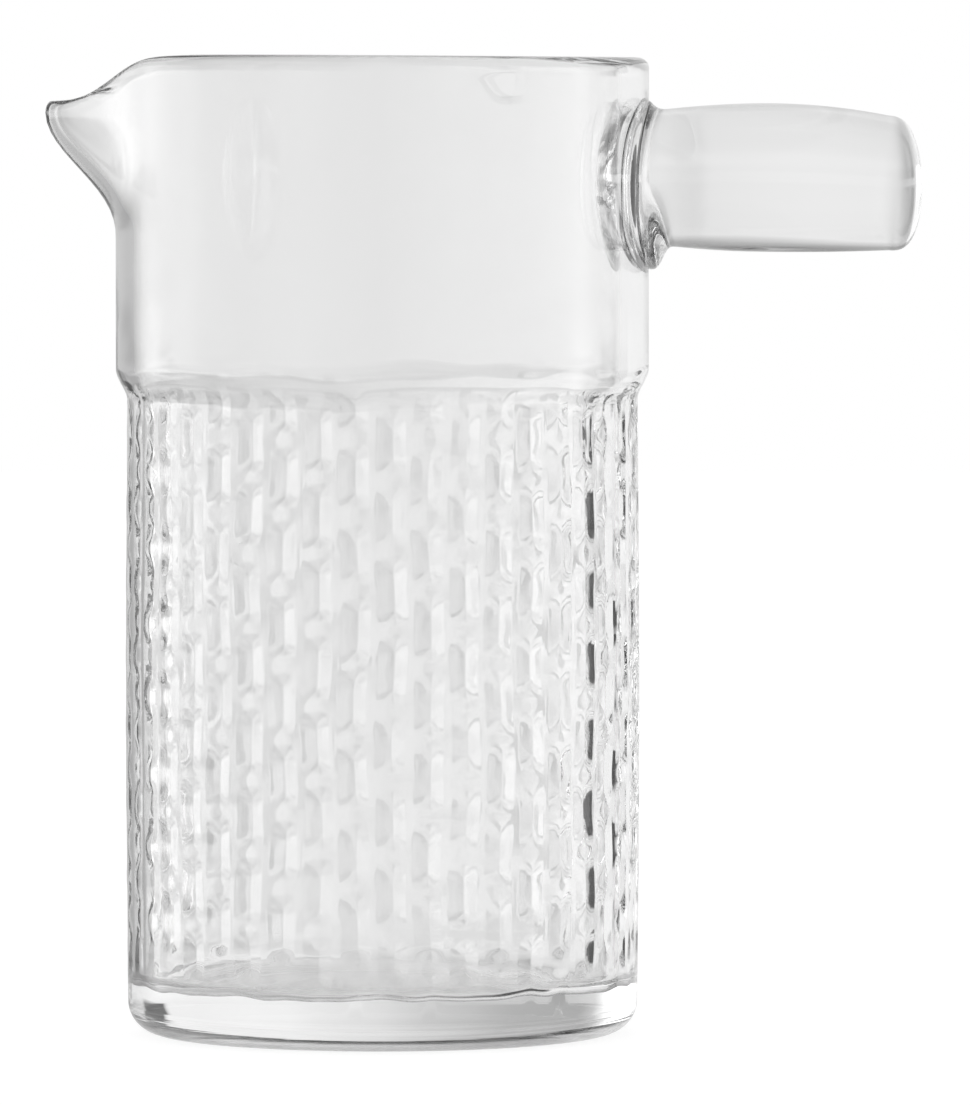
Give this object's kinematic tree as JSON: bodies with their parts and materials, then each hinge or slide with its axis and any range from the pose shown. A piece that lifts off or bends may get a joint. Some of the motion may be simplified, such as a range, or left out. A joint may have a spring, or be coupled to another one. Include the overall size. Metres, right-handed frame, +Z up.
{
  "type": "glass water jug",
  "caption": "Straight glass water jug with a wicker-textured lower band, a smooth collar with a pulled pouring lip, and a solid glass stub handle opposite the lip.",
  "frame": {"origin": "centre of the flat ground base", "axes": "+Z up along the axis of the vessel, lip towards -X, handle towards +X"},
  "size_m": [0.1792, 0.109, 0.2],
  "materials": {
    "glass": "clear, fire-polished"
  },
  "bodies": {
    "root": {"vessel": "glass", "handle": "glass"}
  },
  "joints": []
}
